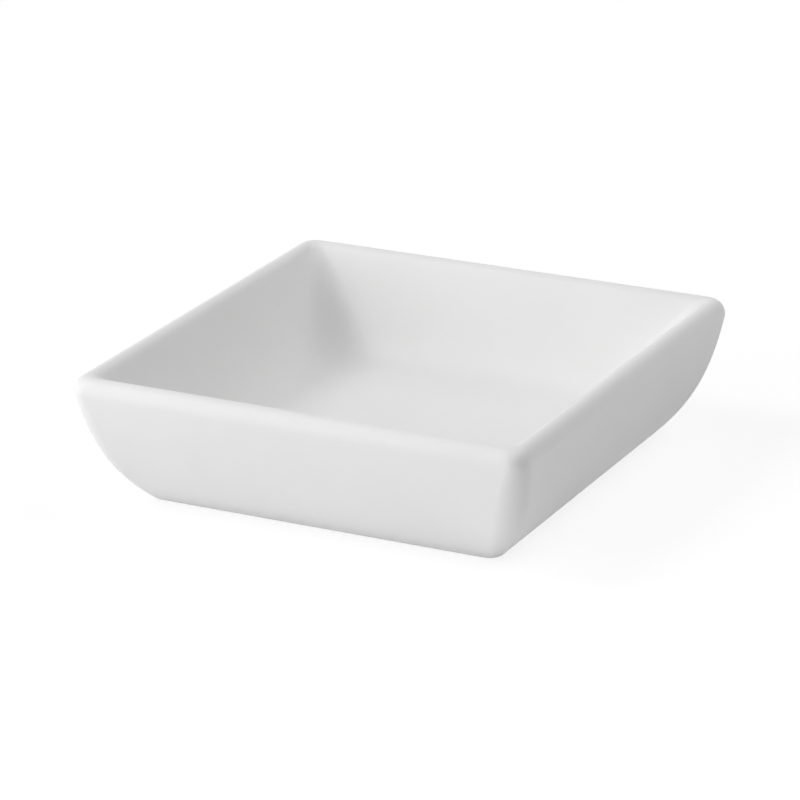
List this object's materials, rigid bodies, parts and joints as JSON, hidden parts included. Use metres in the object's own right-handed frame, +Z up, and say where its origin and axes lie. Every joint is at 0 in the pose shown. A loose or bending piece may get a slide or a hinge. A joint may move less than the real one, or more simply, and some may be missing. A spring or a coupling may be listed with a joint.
{
  "type": "soy sauce dish",
  "caption": "Small square white porcelain dish for soy sauce, with a flat floor, curved flaring walls, a rounded lip, round corners and a low foot ring.",
  "frame": {"origin": "centre of the square foot on the table, at the height of its standing face", "axes": "+Z up out of the dish, +X and +Y along two neighbouring sides of the square"},
  "size_m": [0.09, 0.09, 0.025],
  "materials": {
    "porcelain_body": "matte",
    "white_glaze": "satin"
  },
  "bodies": {
    "root": {"dish_body": "porcelain_body", "main_glaze": "white_glaze", "base_glaze": "white_glaze"}
  },
  "joints": []
}
